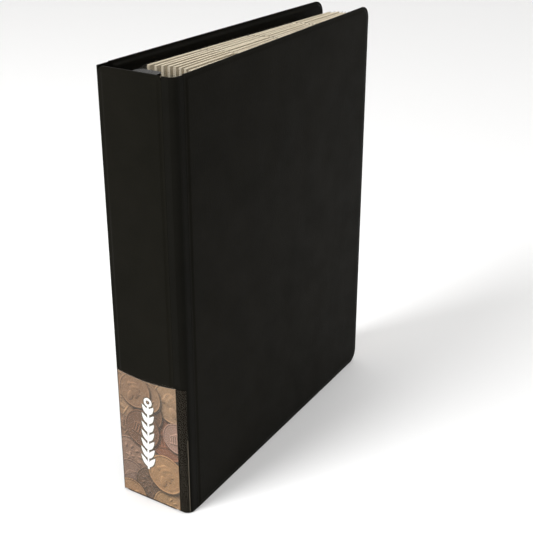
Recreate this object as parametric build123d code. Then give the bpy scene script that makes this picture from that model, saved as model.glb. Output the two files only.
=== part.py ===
from build123d import *
import math
import os

# Coin album: heat-sealed vinyl covers over chipboard, a spine-mounted three-ring mechanism and ten
# twenty-pocket pages of coin holders. It stands upright on its lower welds.
# Millimetres. X runs across the spine (front cover at +X), Y from the spine to the fore-edge, Z up.
# The origin is in the middle of the spine's foot. Plan outlines are drawn in X and Y.

# Case
ALBUM_HEIGHT = 298.5
ALBUM_THICKNESS = 58.6  # between the outer hinge corners
ALBUM_DEPTH = 250.0  # from the hinge corner to the fore-edge, along the cover
COVER_LEAN = 2.0  # degrees that each cover leans in towards the fore-edge
BOARD_THICKNESS = 2.4
VINYL_THICKNESS = 0.45
WELD_WIDTH = 3.0  # flattened rim round each board
WELD_THICKNESS = 1.1
WELD_DEPTH = 0.5  # outer face to the weld's outer side
COVER_CORNER_RADIUS = 9.5
SPINE_CORNER_RADIUS = 4.0
BOARD_CLEARANCE = 0.4  # between a board's edge and the weld
FRONT_CHANNEL = 9.6  # hinge corner to the spine panel, at the front cover
BACK_CHANNEL = 2.6
FRONT_SETBACK = 10.0  # hinge corner to the front cover's panel
BACK_SETBACK = 12.0  # hinge corner to the back cover's panel
WEB_THICKNESS = 0.9
WEB_END_INSET = 0.3
FRONT_WEB_RADIUS = 5.0
BACK_WEB_RADIUS = 1.3

# Label in a clear pocket on the lower spine
LABEL_TOP = 96.0
LABEL_FOOT = 1.6
LABEL_BACK_INSET = 0.3  # from the spine panel's back edge
LABEL_FRONT_OVERHANG = 1.7  # past its front edge
LABEL_TOP_DIP = 2.2  # how far the middle of its top edge dips
LABEL_THICKNESS = 0.25
POCKET_FILM_THICKNESS = 0.2
POCKET_BORDER = 0.6
POCKET_TOP_BORDER = 1.6

# Ring mechanism
RING_SPACING = 107.95
RING_RADIUS = 15.5  # centre line of the wire
RING_WIRE_RADIUS = 1.75
RING_FOOT_GAP = 0.45  # under the wire's foot
RING_RISE = 11.0  # the foot's centre line to the ring's centre
RING_FOOT_X = 6.5  # where the foot ends
RING_TIP_GAP = 0.4
MECHANISM_LIFT = 3.75  # its centre above the middle of the cover
HOUSING_SHORTFALL = 15.1  # how much shorter the housing is than the pages
HOUSING_HALF_WIDTH = 11.0
HOUSING_WALL = 1.0
HOUSING_SHOULDER_GAP = 1.35  # the blades' top to the outside of the shoulder
HOUSING_CROWN_RISE = 3.0
RING_NOTCH_LENGTH = 8.0
RING_NOTCH_DROP = 0.2  # the notch's top, below the shoulder
BLADE_THICKNESS = 1.0
BLADE_INNER_X = 0.3
BLADE_OUTER_X = 9.2
BLADE_END_GAP = 6.0  # blade end to housing end

# Levers
LEVER_THICKNESS = 1.4
LEVER_WIDTH = 18.0
LEVER_FINGER_LENGTH = 12.0
LEVER_FINGER_WIDTH = 6.0
LEVER_PIVOT_INSET = 3.0  # pivot axis to the housing's end
LEVER_BLADE_GAP = 0.65  # the sheet's top to the blades over it
LEVER_PAGE_GAP = 0.45  # the tongue's underside to the pages' edge
LEVER_TONGUE_RISE = 5.0  # how far the tongue stands past the ring's centre
LEVER_BEND_RADIUS = 4.0
LEVER_CORNER_RADIUS = 4.0
LEVER_PIN_RADIUS = 1.0
LEVER_PIN_CLEARANCE = 0.05
LEVER_LUG_RADIUS = 2.2

# Rivets that hold the housing
RIVET_INSET = 40.0  # from the housing's end
RIVET_RADIUS = 2.0
RIVET_HEAD_RADIUS = 3.6
RIVET_HEAD_HEIGHT = 0.9
RIVET_FLANGE_RADIUS = 4.5
RIVET_FLANGE_THICKNESS = 0.6

# Pages and coin holders
PAGE_COUNT = 10
POCKET_COLUMNS = 4
POCKET_ROWS = 5
HOLDER_SIZE = 50.0
HOLDER_THICKNESS = 1.8
HOLDER_CLEARANCE = 0.2
SEAM_WIDTH = 0.8
FILM_THICKNESS = 0.2
ROW_GAP = 6.8  # from one holder to the next one above it
PAGE_TOP_MARGIN = 1.1  # film above the top row of holders
FRONT_START_GAP = 5.5  # the rings' front to where the front page's first pocket begins
BACK_START_GAP = 1.0
START_RISE = 5.5  # the rings' top to the front page's first pocket
PAGE_START_BOW = 4.5  # how much further out the middle pages begin
FRONT_END_INSET = 14.3  # the front page's fore-edge, in from the hinge corner's plane
PAGE_END_GAP = 0.356  # between pages at the fore-edge
MARGIN_THICKNESS = 0.3
MARGIN_RUN = 3.0  # the margin's straight part, before it turns to the ring
MARGIN_AIM = 30.0  # the margins point this far behind the ring's centre
MARGIN_EDGE = 5.5  # ring hole to binding edge
SLOT_CLEAR_LENGTH = 6.5  # beyond the wire's diameter
SLOT_CLEAR_HEIGHT = 3.0
SLOT_OFFSET = 1.0  # the slot's centre, towards the pockets
COIN_DIAMETERS = [24.3, 17.9, 21.2, 24.3, 30.6]  # one size per row, from the foot
COIN_CLEARANCE = 0.15

PANEL_THICKNESS = BOARD_THICKNESS + 2 * VINYL_THICKNESS
HALF_THICKNESS = ALBUM_THICKNESS / 2
SEAM_DEPTH = WELD_DEPTH + WELD_THICKNESS / 2  # outer face to where the two vinyls meet
SPINE_BACK_X = BACK_CHANNEL - HALF_THICKNESS
SPINE_FRONT_X = HALF_THICKNESS - FRONT_CHANNEL
SPINE_OFFSET = (SPINE_BACK_X + SPINE_FRONT_X) / 2  # its middle is nearer to the back cover
MECHANISM_Z = ALBUM_HEIGHT / 2 + MECHANISM_LIFT
RING_HEIGHTS = {
    "top": MECHANISM_Z + RING_SPACING,
    "middle": MECHANISM_Z,
    "bottom": MECHANISM_Z - RING_SPACING,
}
RING_FOOT_Y = PANEL_THICKNESS + RING_FOOT_GAP + RING_WIRE_RADIUS
RING_CENTRE_Y = RING_FOOT_Y + RING_RISE
BLADE_Y = RING_FOOT_Y + RING_WIRE_RADIUS
HOUSING_SHOULDER_Y = BLADE_Y + BLADE_THICKNESS + HOUSING_SHOULDER_GAP
HOUSING_CROWN_Y = HOUSING_SHOULDER_Y + HOUSING_CROWN_RISE
LEVER_SHEET_Y = BLADE_Y - LEVER_BLADE_GAP - LEVER_THICKNESS
PAGE_PITCH = HOLDER_SIZE + 2 * HOLDER_CLEARANCE + SEAM_WIDTH
PAGE_WIDTH = POCKET_COLUMNS * PAGE_PITCH + SEAM_WIDTH
PAGE_THICKNESS = HOLDER_THICKNESS + 2 * FILM_THICKNESS
ROW_PITCH = HOLDER_SIZE + ROW_GAP
PAGE_HEIGHT = (POCKET_ROWS - 1) * ROW_PITCH + SEAM_WIDTH + HOLDER_SIZE + PAGE_TOP_MARGIN
PAGE_FOOT = MECHANISM_Z - PAGE_HEIGHT / 2
FRONT_START_X = SPINE_OFFSET + RING_RADIUS + FRONT_START_GAP
BACK_START_X = SPINE_OFFSET - RING_RADIUS - BACK_START_GAP
PAGE_START_Y = RING_CENTRE_Y + RING_RADIUS + START_RISE
FRONT_END_X = HALF_THICKNESS - FRONT_END_INSET
BACK_END_X = FRONT_END_X - (PAGE_COUNT - 1) * (PAGE_THICKNESS + PAGE_END_GAP)

os.makedirs("parts", exist_ok=True)


def save(name, shape):
    shape.label = name
    export_step(shape, f"parts/{name}.step")


def block(x0, x1, y0, y1, z0, z1):
    """A box between six planes."""
    return Pos((x0 + x1) / 2, (y0 + y1) / 2, (z0 + z1) / 2) * Box(x1 - x0, y1 - y0, z1 - z0)


def prism(plan, low, high):
    """A solid that stands on a plan outline between two heights."""
    return extrude(Pos(0, 0, low) * plan, high - low)


# Case panels are made along X, with the outer face at y = 0 and the inner face at PANEL_THICKNESS.


def panel_slab(length, radius, rounded, inset, near, far):
    """A panel's outline, moved in by inset, made solid between two distances from the outer face."""
    slab = block(inset, length - inset, near, far, inset, ALBUM_HEIGHT - inset)
    edges = slab.edges().filter_by(Axis.Y)
    return fillet(edges if rounded == "all" else edges.group_by(Axis.X)[-1], radius - inset)


def slope_rim(slab, face, drop):
    """Slopes a face down to the thin weld round its edge."""
    return chamfer(face.edges(), WELD_WIDTH, drop, reference=face)


def vinyl_envelope(length, radius, rounded):
    """The outer and inner vinyl of one panel, each with its half of the weld round the board."""
    outer = panel_slab(length, radius, rounded, 0, 0, SEAM_DEPTH)
    outer = slope_rim(outer, outer.faces().sort_by(Axis.Y)[0], WELD_DEPTH)
    inner = panel_slab(length, radius, rounded, 0, SEAM_DEPTH, PANEL_THICKNESS)
    inner_drop = PANEL_THICKNESS - WELD_DEPTH - WELD_THICKNESS
    inner = slope_rim(inner, inner.faces().sort_by(Axis.Y)[-1], inner_drop)
    bed = panel_slab(length, radius, rounded, WELD_WIDTH, VINYL_THICKNESS, PANEL_THICKNESS - VINYL_THICKNESS)
    return outer - bed, inner - bed


def board(length, radius, rounded):
    inset = WELD_WIDTH + BOARD_CLEARANCE
    return panel_slab(length, radius, rounded, inset, VINYL_THICKNESS, PANEL_THICKNESS - VINYL_THICKNESS)


def as_front_cover(shape, setback):
    """Turns a panel from along X to its place as the front cover."""
    return Pos(HALF_THICKNESS, 0, 0) * Rot(0, 0, 90 + COVER_LEAN) * Pos(setback, 0, 0) * shape


def as_back_cover(shape, setback):
    return mirror(as_front_cover(shape, setback), about=Plane.YZ)


def save_panel(side, length, radius, rounded, place):
    outer, inner = vinyl_envelope(length, radius, rounded)
    save(f"{side}_outer_vinyl", place(outer))
    save(f"{side}_liner", place(inner))
    save(f"{side}_board", place(board(length, radius, rounded)))


def make_case():
    spine_width = SPINE_FRONT_X - SPINE_BACK_X
    save_panel("spine", spine_width, SPINE_CORNER_RADIUS, "all", lambda s: Pos(SPINE_BACK_X, 0, 0) * s)
    front_length = ALBUM_DEPTH - FRONT_SETBACK
    back_length = ALBUM_DEPTH - BACK_SETBACK
    radius = COVER_CORNER_RADIUS
    save_panel("front", front_length, radius, "far", lambda s: as_front_cover(s, FRONT_SETBACK))
    save_panel("back", back_length, radius, "far", lambda s: as_back_cover(s, BACK_SETBACK))


def hinge_web(spine_x, setback, radius):
    """The bare vinyl that folds round a corner, for the front; spine_x is where the spine weld ends."""
    lean = math.radians(COVER_LEAN)
    along = Vector(-math.sin(lean), math.cos(lean))
    inward = Vector(-math.cos(lean), -math.sin(lean))
    cover_start = Vector(HALF_THICKNESS, 0) + along * setback + inward * SEAM_DEPTH
    corner = cover_start - along * ((cover_start.Y - SEAM_DEPTH) / along.Y)
    path = FilletPolyline((spine_x, SEAM_DEPTH), corner, cover_start, radius=radius)
    return prism(trace(path, WEB_THICKNESS), WEB_END_INSET, ALBUM_HEIGHT - WEB_END_INSET)


def make_webs():
    save("front_hinge_web", hinge_web(SPINE_FRONT_X, FRONT_SETBACK, FRONT_WEB_RADIUS))
    back = hinge_web(-SPINE_BACK_X, BACK_SETBACK, BACK_WEB_RADIUS)
    save("back_hinge_web", mirror(back, about=Plane.YZ))


def label_sheet(border, top_border, near, far):
    """An upright sheet on the spine whose top edge sags in a shallow arc."""
    x0 = SPINE_BACK_X + LABEL_BACK_INSET - border
    x1 = SPINE_FRONT_X + LABEL_FRONT_OVERHANG + border
    foot, top = LABEL_FOOT - border, LABEL_TOP + top_border
    outline = Polyline((x0, top), (x0, foot), (x1, foot), (x1, top))
    sag = ThreePointArc((x0, top), ((x0 + x1) / 2, top - LABEL_TOP_DIP), (x1, top))
    face = make_face(Plane.XZ * (outline + sag))
    return extrude(Pos(0, -near, 0) * face, amount=far - near, dir=(0, -1, 0))


def make_label():
    save("label_insert", label_sheet(0, 0, 0, LABEL_THICKNESS))
    film_far = LABEL_THICKNESS + POCKET_FILM_THICKNESS
    film = label_sheet(POCKET_BORDER, POCKET_TOP_BORDER, 0, film_far)
    bed = label_sheet(0, 0, 0, LABEL_THICKNESS)
    mouth = label_sheet(0, POCKET_TOP_BORDER, 0, LABEL_THICKNESS)
    save("label_pocket", film - bed - mouth)


# The mechanism is made about its own middle, x = 0, and moved by SPINE_OFFSET when it is saved.


def save_on_spine(name, shape):
    save(name, Pos(SPINE_OFFSET, 0, 0) * shape)


def housing_plan(wall):
    """The arch in plan, moved in by a wall's thickness."""
    half = HOUSING_HALF_WIDTH - wall
    shoulder = HOUSING_SHOULDER_Y - wall
    sides = Polyline((-half, shoulder), (-half, PANEL_THICKNESS), (half, PANEL_THICKNESS), (half, shoulder))
    crown = ThreePointArc((-half, shoulder), (0, HOUSING_CROWN_Y - wall), (half, shoulder))
    return make_face(sides + crown)


HOUSING_LOW = PAGE_FOOT + HOUSING_SHORTFALL / 2
HOUSING_HIGH = PAGE_FOOT + PAGE_HEIGHT - HOUSING_SHORTFALL / 2
RIVET_HEIGHTS = [HOUSING_LOW + RIVET_INSET, HOUSING_HIGH - RIVET_INSET]
PIN_Y = LEVER_SHEET_Y + LEVER_THICKNESS / 2
PIN_HEIGHTS = [HOUSING_LOW + LEVER_PIVOT_INSET, HOUSING_HIGH - LEVER_PIVOT_INSET]


def cross_pin(radius, half_length, height):
    """A cylinder along X through the levers' pivot line."""
    return Pos(0, PIN_Y, height) * Rot(0, 90, 0) * Cylinder(radius, 2 * half_length)


def rivet(height):
    """A tubular post from the liner to the crown, with a flange under it and a head on top."""
    post = (HOUSING_CROWN_Y - PANEL_THICKNESS, RIVET_RADIUS, PANEL_THICKNESS)
    flange = (RIVET_FLANGE_THICKNESS, RIVET_FLANGE_RADIUS, PANEL_THICKNESS)
    head = (RIVET_HEAD_HEIGHT, RIVET_HEAD_RADIUS, HOUSING_CROWN_Y)
    pieces = [
        Pos(0, start + length / 2, height) * Rot(90, 0, 0) * Cylinder(radius, length)
        for length, radius, start in (post, flange, head)
    ]
    return pieces[0] + pieces[1] + pieces[2]


def make_housing():
    shell = prism(housing_plan(0) - housing_plan(HOUSING_WALL), HOUSING_LOW, HOUSING_HIGH)
    floor = block(
        -HOUSING_HALF_WIDTH + HOUSING_WALL,
        HOUSING_HALF_WIDTH - HOUSING_WALL,
        PANEL_THICKNESS - 1,
        PANEL_THICKNESS + HOUSING_WALL,
        HOUSING_LOW,
        HOUSING_HIGH,
    )
    shell -= floor
    for height in RING_HEIGHTS.values():
        half = RING_NOTCH_LENGTH / 2
        reach = HOUSING_HALF_WIDTH + 1
        notch_top = HOUSING_SHOULDER_Y - RING_NOTCH_DROP
        shell -= block(-reach, reach, PANEL_THICKNESS - 1, notch_top, height - half, height + half)
    for height in PIN_HEIGHTS:
        shell -= cross_pin(LEVER_PIN_RADIUS, HOUSING_HALF_WIDTH + 1, height)
    for height in RIVET_HEIGHTS:
        shell -= rivet(height)
    save_on_spine("ring_housing", shell)
    save_on_spine("housing_rivets", Compound([rivet(height) for height in RIVET_HEIGHTS]))
    pins = [cross_pin(LEVER_PIN_RADIUS, HOUSING_HALF_WIDTH, height) for height in PIN_HEIGHTS]
    save_on_spine("lever_pins", Compound(pins))


def half_ring(height):
    """The front half of one ring: an arc down from the tip, then a foot that runs in under the blade."""
    drop = RING_CENTRE_Y - RING_FOOT_Y
    foot_x = math.sqrt(RING_RADIUS**2 - drop**2)
    sweep_angle = 90 + math.degrees(math.asin(drop / RING_RADIUS))
    section = Pos(0, RING_RADIUS, 0) * Rot(0, 90, 0) * Circle(RING_WIRE_RADIUS)
    arc = revolve(section, Axis.Z, -sweep_angle)
    arc = Pos(0, RING_CENTRE_Y, height) * arc
    foot_length = foot_x - RING_FOOT_X
    foot = Pos((foot_x + RING_FOOT_X) / 2, RING_FOOT_Y, height) * Rot(0, 90, 0)
    foot = foot * Cylinder(RING_WIRE_RADIUS, foot_length)
    knee = Pos(foot_x, RING_FOOT_Y, height) * Sphere(RING_WIRE_RADIUS)
    tip = block(-5, RING_TIP_GAP / 2, RING_CENTRE_Y, RING_CENTRE_Y + 30, height - 5, height + 5)
    return arc + foot + knee - tip


def front_blade():
    blade = block(
        BLADE_INNER_X,
        BLADE_OUTER_X,
        BLADE_Y,
        BLADE_Y + BLADE_THICKNESS,
        HOUSING_LOW + BLADE_END_GAP,
        HOUSING_HIGH - BLADE_END_GAP,
    )
    for height in RIVET_HEIGHTS:
        clear = RIVET_FLANGE_RADIUS
        blade -= block(-1, clear, 0, 20, height - clear, height + clear)
    return blade


def make_rings():
    for place, height in RING_HEIGHTS.items():
        front = half_ring(height)
        save_on_spine(f"{place}_half_ring_front", front)
        save_on_spine(f"{place}_half_ring_back", mirror(front, about=Plane.YZ))
    save_on_spine("front_blade", front_blade())
    save_on_spine("back_blade", mirror(front_blade(), about=Plane.YZ))


def top_lever():
    """A bent sheet: a finger under the blades, a rolled pivot and a tongue that turns up."""
    pivot_z = HOUSING_HIGH - LEVER_PIVOT_INSET
    middle_y = LEVER_SHEET_Y + LEVER_THICKNESS / 2
    reach_z = PAGE_FOOT + PAGE_HEIGHT + LEVER_PAGE_GAP + LEVER_THICKNESS / 2
    tongue_y = RING_CENTRE_Y + LEVER_TONGUE_RISE
    path = FilletPolyline(
        (middle_y, pivot_z - LEVER_FINGER_LENGTH),
        (middle_y, reach_z),
        (tongue_y, reach_z),
        radius=LEVER_BEND_RADIUS,
    )
    side = trace(path, LEVER_THICKNESS)
    half = LEVER_WIDTH / 2
    sheet = extrude(Plane.YZ * side, amount=half, both=True)
    tongue_corners = sheet.edges().filter_by(Axis.Z).group_by(Axis.Y)[-1]
    sheet = fillet(tongue_corners, LEVER_CORNER_RADIUS)
    finger_top = pivot_z - LEVER_LUG_RADIUS
    for side in (-1, 1):
        x0, x1 = sorted((side * LEVER_FINGER_WIDTH / 2, side * (half + 1)))
        sheet -= block(x0, x1, 0, tongue_y, finger_top - LEVER_FINGER_LENGTH, finger_top)
    lugs = cross_pin(LEVER_LUG_RADIUS, half, pivot_z)
    bore = cross_pin(LEVER_PIN_RADIUS + LEVER_PIN_CLEARANCE, half + 1, pivot_z)
    return sheet + lugs - bore


def make_levers():
    lever = top_lever()
    save_on_spine("top_lever", lever)
    save_on_spine("bottom_lever", mirror(lever, about=Plane.XY.offset(MECHANISM_Z)))


# Each page is made flat: x along the page from its first pocket, y across it, z up. It is then placed.


class Page:
    """Where one page stands, counted from the front cover."""

    def __init__(self, number):
        share = (number - 1) / (PAGE_COUNT - 1)
        bow = PAGE_START_BOW * (1 - (2 * share - 1) ** 2)
        start_x = FRONT_START_X + (BACK_START_X - FRONT_START_X) * share
        end_x = FRONT_END_X + (BACK_END_X - FRONT_END_X) * share
        self.number = number
        self.start = Vector(start_x, PAGE_START_Y + bow)
        self.angle = math.degrees(math.asin((end_x - start_x) / PAGE_WIDTH))
        turn = math.radians(self.angle)
        self.along = Vector(math.sin(turn), math.cos(turn))
        self.place = Pos(self.start.X, self.start.Y, 0) * Rot(0, 0, 90 - self.angle)

    def margin_points(self):
        """The pocket's edge, the turn, the ring hole and the binding edge."""
        turn = self.start - self.along * MARGIN_RUN
        centre = Vector(SPINE_OFFSET, RING_CENTRE_Y)
        aim = centre - Vector(0, MARGIN_AIM)
        way = (aim - turn).normalized()
        off = turn - centre
        half = off.dot(way)
        hole = turn + way * (-half - math.sqrt(half**2 - (off.dot(off) - RING_RADIUS**2)))
        return turn, hole, hole + way * MARGIN_EDGE, way


def pocket_grid():
    """Two films with the seams between the pockets."""
    half = PAGE_THICKNESS / 2
    top = PAGE_FOOT + PAGE_HEIGHT
    films = block(0, PAGE_WIDTH, -half, half, PAGE_FOOT, top)
    for column in range(POCKET_COLUMNS):
        x0 = SEAM_WIDTH + column * PAGE_PITCH
        for row in range(POCKET_ROWS):
            z0 = PAGE_FOOT + SEAM_WIDTH + row * ROW_PITCH
            z1 = top + 1 if row == POCKET_ROWS - 1 else z0 + ROW_PITCH - SEAM_WIDTH
            inner = HOLDER_THICKNESS / 2
            films -= block(x0, x0 + PAGE_PITCH - SEAM_WIDTH, -inner, inner, z0, z1)
    return films


def holder_centres():
    for column in range(POCKET_COLUMNS):
        for row in range(POCKET_ROWS):
            x = SEAM_WIDTH + HOLDER_CLEARANCE + HOLDER_SIZE / 2 + column * PAGE_PITCH
            z = PAGE_FOOT + SEAM_WIDTH + HOLDER_SIZE / 2 + row * ROW_PITCH
            yield x, z, COIN_DIAMETERS[row] / 2


def flat_disc(x, z, radius):
    return Pos(x, 0, z) * Rot(90, 0, 0) * Cylinder(radius, HOLDER_THICKNESS)


def holders():
    cards = []
    for x, z, coin_radius in holder_centres():
        card = Pos(x, 0, z) * Box(HOLDER_SIZE, HOLDER_THICKNESS, HOLDER_SIZE)
        cards.append(card - flat_disc(x, z, coin_radius + COIN_CLEARANCE))
    return Compound(cards)


def coins():
    return Compound([flat_disc(x, z, radius) for x, z, radius in holder_centres()])


def margin(page):
    """The punched strip that runs from the pockets to the rings."""
    turn, hole, edge, way = page.margin_points()
    strip = trace(Polyline(page.start, turn, edge), MARGIN_THICKNESS)
    strip = prism(strip, PAGE_FOOT, PAGE_FOOT + PAGE_HEIGHT)
    slot_at = hole - way * SLOT_OFFSET
    turn_angle = math.degrees(math.atan2(way.Y, way.X))
    slot_height = 2 * RING_WIRE_RADIUS + SLOT_CLEAR_HEIGHT
    slot = Box(2 * RING_WIRE_RADIUS + SLOT_CLEAR_LENGTH, 4, slot_height)
    slot = fillet(slot.edges().filter_by(Axis.Y), slot_height / 2 - 0.25)
    for height in RING_HEIGHTS.values():
        strip -= Pos(slot_at.X, slot_at.Y, height) * Rot(0, 0, turn_angle) * slot
    return strip


def make_pages():
    grid = pocket_grid()
    cards = holders()
    discs = coins()
    for number in range(1, PAGE_COUNT + 1):
        page = Page(number)
        save(f"page_{number:02d}_film", page.place * grid + margin(page))
        save(f"page_{number:02d}_holders", page.place * cards)
        save(f"page_{number:02d}_coins", page.place * discs)


make_case()
make_webs()
make_label()
make_housing()
make_rings()
make_levers()
make_pages()
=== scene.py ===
import math

import bpy
import numpy as np
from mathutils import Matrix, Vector


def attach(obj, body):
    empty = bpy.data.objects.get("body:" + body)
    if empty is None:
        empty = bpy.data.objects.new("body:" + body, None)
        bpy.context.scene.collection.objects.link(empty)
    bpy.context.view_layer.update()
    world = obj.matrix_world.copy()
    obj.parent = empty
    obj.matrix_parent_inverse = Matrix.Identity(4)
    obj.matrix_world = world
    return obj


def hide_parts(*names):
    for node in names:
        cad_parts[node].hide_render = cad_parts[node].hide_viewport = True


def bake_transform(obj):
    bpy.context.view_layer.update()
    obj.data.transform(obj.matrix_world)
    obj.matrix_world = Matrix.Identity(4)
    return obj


# A coin album standing upright: vinyl case, label in a clear pocket, ring mechanism and pages of
# coin holders. Lengths in this file are millimetres until MM turns them into metres.

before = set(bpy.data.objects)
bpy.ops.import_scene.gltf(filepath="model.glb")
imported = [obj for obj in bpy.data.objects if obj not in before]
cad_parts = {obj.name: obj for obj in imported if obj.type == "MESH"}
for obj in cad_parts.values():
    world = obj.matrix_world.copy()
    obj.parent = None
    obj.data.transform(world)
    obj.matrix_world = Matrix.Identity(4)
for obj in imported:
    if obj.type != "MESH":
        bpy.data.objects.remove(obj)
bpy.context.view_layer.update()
MM = 0.001

# ---------------------------------------------------------------- sizes that repeat the frame's own

HEIGHT = 298.5
HALF_THICKNESS = 29.3
DEPTH = 250.0
LEAN = math.radians(2.0)
PANEL = 3.3
WELD_DEPTH = 0.5
WELD_THICKNESS = 1.1
VINYL = 0.45
SPINE_BACK_X = -26.7
SPINE_FRONT_X = 19.7
FRONT_SETBACK = 10.0
BACK_SETBACK = 12.0
COVER_RADIUS = 9.5
SPINE_RADIUS = 4.0
SEAM = WELD_DEPTH + WELD_THICKNESS / 2
PAGES = 10
COLUMNS = 4
ROWS = 5
RING_Y = 16.5
RING_RADIUS = 15.5
RING_X = -3.5


# ---------------------------------------------------------------- mesh helpers


def smooth(t):
    """A soft step: 0 below 0, 1 above 1, cubic between."""
    t = np.clip(t, 0, 1)
    return t * t * (3 - 2 * t)


def new_piece(name, points, faces, body=None, material=None, sharp=35):
    """A mesh object from arrays of millimetre points and face corners, smooth except past an angle."""
    mesh = bpy.data.meshes.new(name)
    mesh.from_pydata((np.asarray(points, float) * MM).tolist(), [], [list(f) for f in faces])
    mesh.polygons.foreach_set("use_smooth", np.ones(len(mesh.polygons), bool))
    mesh.set_sharp_from_angle(angle=math.radians(sharp))
    mesh.update()
    piece = bpy.data.objects.new(name, mesh)
    bpy.context.scene.collection.objects.link(piece)
    if material:
        mesh.materials.append(material)
    if body:
        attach(piece, body)
    return piece


def shell_faces(rows, columns, keep=None):
    """Faces of a closed sheet: a front grid, a back grid, and walls round every cell that is kept."""
    keep = np.ones((rows - 1, columns - 1), bool) if keep is None else keep
    front = np.arange(rows * columns).reshape(rows, columns)
    back = front + rows * columns
    a, b, c, d = front[:-1, :-1], front[1:, :-1], front[1:, 1:], front[:-1, 1:]
    faces = [np.stack([a, b, c, d], -1)[keep]]
    faces.append(np.stack([a, d, c, b], -1)[keep] + rows * columns)
    padded = np.pad(keep, 1)
    here, before = padded[1:, 1:-1], padded[:-1, 1:-1]
    p, q, p2, q2 = front[:, :-1], front[:, 1:], back[:, :-1], back[:, 1:]
    faces.append(np.stack([p, q, q2, p2], -1)[here & ~before])
    faces.append(np.stack([q, p, p2, q2], -1)[before & ~here])
    here, before = padded[1:-1, 1:], padded[1:-1, :-1]
    p, q, p2, q2 = front[:-1], front[1:], back[:-1], back[1:]
    faces.append(np.stack([q, p, p2, q2], -1)[here & ~before])
    faces.append(np.stack([p, q, q2, p2], -1)[before & ~here])
    return np.concatenate(faces)


def shell_arrays(front, back, keep=None):
    """Points and outward faces of a closed sheet between two point grids."""
    rows, columns = front.shape[:2]
    faces = shell_faces(rows, columns, keep)
    points = np.concatenate([front.reshape(-1, 3), back.reshape(-1, 3)])
    u = front[1:, :-1] - front[:-1, :-1]
    v = front[:-1, 1:] - front[:-1, :-1]
    out = (front - back)[:-1, :-1]
    if (np.cross(u, v) * out).sum() < 0:
        faces = faces[:, ::-1]
    used, index = np.unique(faces, return_inverse=True)
    return points[used], index.reshape(faces.shape)


def join_arrays(parts):
    """Several (points, faces) pairs as one."""
    points, faces, count = [], [], 0
    for p, f in parts:
        points.append(p)
        faces.append(np.asarray(f) + count)
        count += len(p)
    return np.concatenate(points), np.concatenate(faces)


def lines_between(low, high, fine, coarse, band):
    """Grid lines that are close together near both ends and wide apart between them."""
    near = np.arange(0, band, fine)
    middle = np.linspace(band, high - low - band, max(2, int((high - low - 2 * band) / coarse)))
    return low + np.concatenate([near, middle, (high - low) - near[::-1]])


def ripple(x, z, size, seed):
    """A gentle unevenness between -1 and 1: a few crossed sine waves about size apart."""
    draw = np.random.default_rng(seed)
    total = np.zeros(np.broadcast(x, z).shape)
    for _ in range(6):
        angle, phase, stretch = draw.uniform(0, 2 * np.pi, 2).tolist() + [draw.uniform(0.6, 1.5)]
        total += np.sin((x * np.cos(angle) + z * np.sin(angle)) * 2 * np.pi / (size * stretch) + phase)
    return total / 6


# ---------------------------------------------------------------- materials


class Finish:
    """A node material built link by link."""

    def __init__(self, name):
        self.material = bpy.data.materials.new(name)
        self.material.use_nodes = True
        self.nodes = self.material.node_tree.nodes
        self.links = self.material.node_tree.links
        self.nodes.clear()
        self.shader = self.nodes.new("ShaderNodeBsdfPrincipled")
        out = self.nodes.new("ShaderNodeOutputMaterial")
        self.links.new(self.shader.outputs[0], out.inputs["Surface"])
        self.place = self.nodes.new("ShaderNodeTexCoord").outputs["Object"]

    def set(self, **values):
        for key, value in values.items():
            socket = self.shader.inputs[key.replace("_", " ")]
            socket.default_value = (*value, 1) if isinstance(value, tuple) else value
        return self

    def noise(self, scale, detail=3, roughness=0.5, place=None):
        node = self.nodes.new("ShaderNodeTexNoise")
        node.inputs["Scale"].default_value = scale
        node.inputs["Detail"].default_value = detail
        node.inputs["Roughness"].default_value = roughness
        self.links.new(place or self.place, node.inputs["Vector"])
        return node.outputs["Fac"]

    def cells(self, scale, feature="F1"):
        node = self.nodes.new("ShaderNodeTexVoronoi")
        node.feature = feature
        node.inputs["Scale"].default_value = scale
        self.links.new(self.place, node.inputs["Vector"])
        return node.outputs["Distance"]

    def math(self, kind, a, b):
        node = self.nodes.new("ShaderNodeMath")
        node.operation = kind
        for socket, value in zip(node.inputs, (a, b)):
            if isinstance(value, (int, float)):
                socket.default_value = value
            else:
                self.links.new(value, socket)
        return node.outputs[0]

    def ramp(self, value, stops):
        node = self.nodes.new("ShaderNodeValToRGB")
        elements = node.color_ramp.elements
        for element, (position, color) in zip((elements[0], elements[-1]), (stops[0], stops[-1])):
            element.position = position
            element.color = (*color, 1)
        for position, color in stops[1:-1]:
            elements.new(position).color = (*color, 1)
        self.links.new(value, node.inputs[0])
        return node.outputs[0]

    def mix(self, factor, a, b, kind="MIX"):
        node = self.nodes.new("ShaderNodeMix")
        node.data_type = "RGBA"
        node.blend_type = kind
        colors = [s for s in node.inputs if s.type == "RGBA"]
        for socket, value in zip((node.inputs[0], colors[0], colors[1]), (factor, a, b)):
            if isinstance(value, tuple):
                socket.default_value = (*value, 1)
            elif isinstance(value, (int, float)):
                socket.default_value = value
            else:
                self.links.new(value, socket)
        return [s for s in node.outputs if s.type == "RGBA"][0]

    def bump(self, height, strength, distance, under=None):
        node = self.nodes.new("ShaderNodeBump")
        node.inputs["Strength"].default_value = strength
        node.inputs["Distance"].default_value = distance
        self.links.new(height, node.inputs["Height"])
        if under:
            self.links.new(under, node.inputs["Normal"])
        return node.outputs[0]

    def feed(self, **sockets):
        for key, value in sockets.items():
            self.links.new(value, self.shader.inputs[key.replace("_", " ")])
        return self


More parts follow.
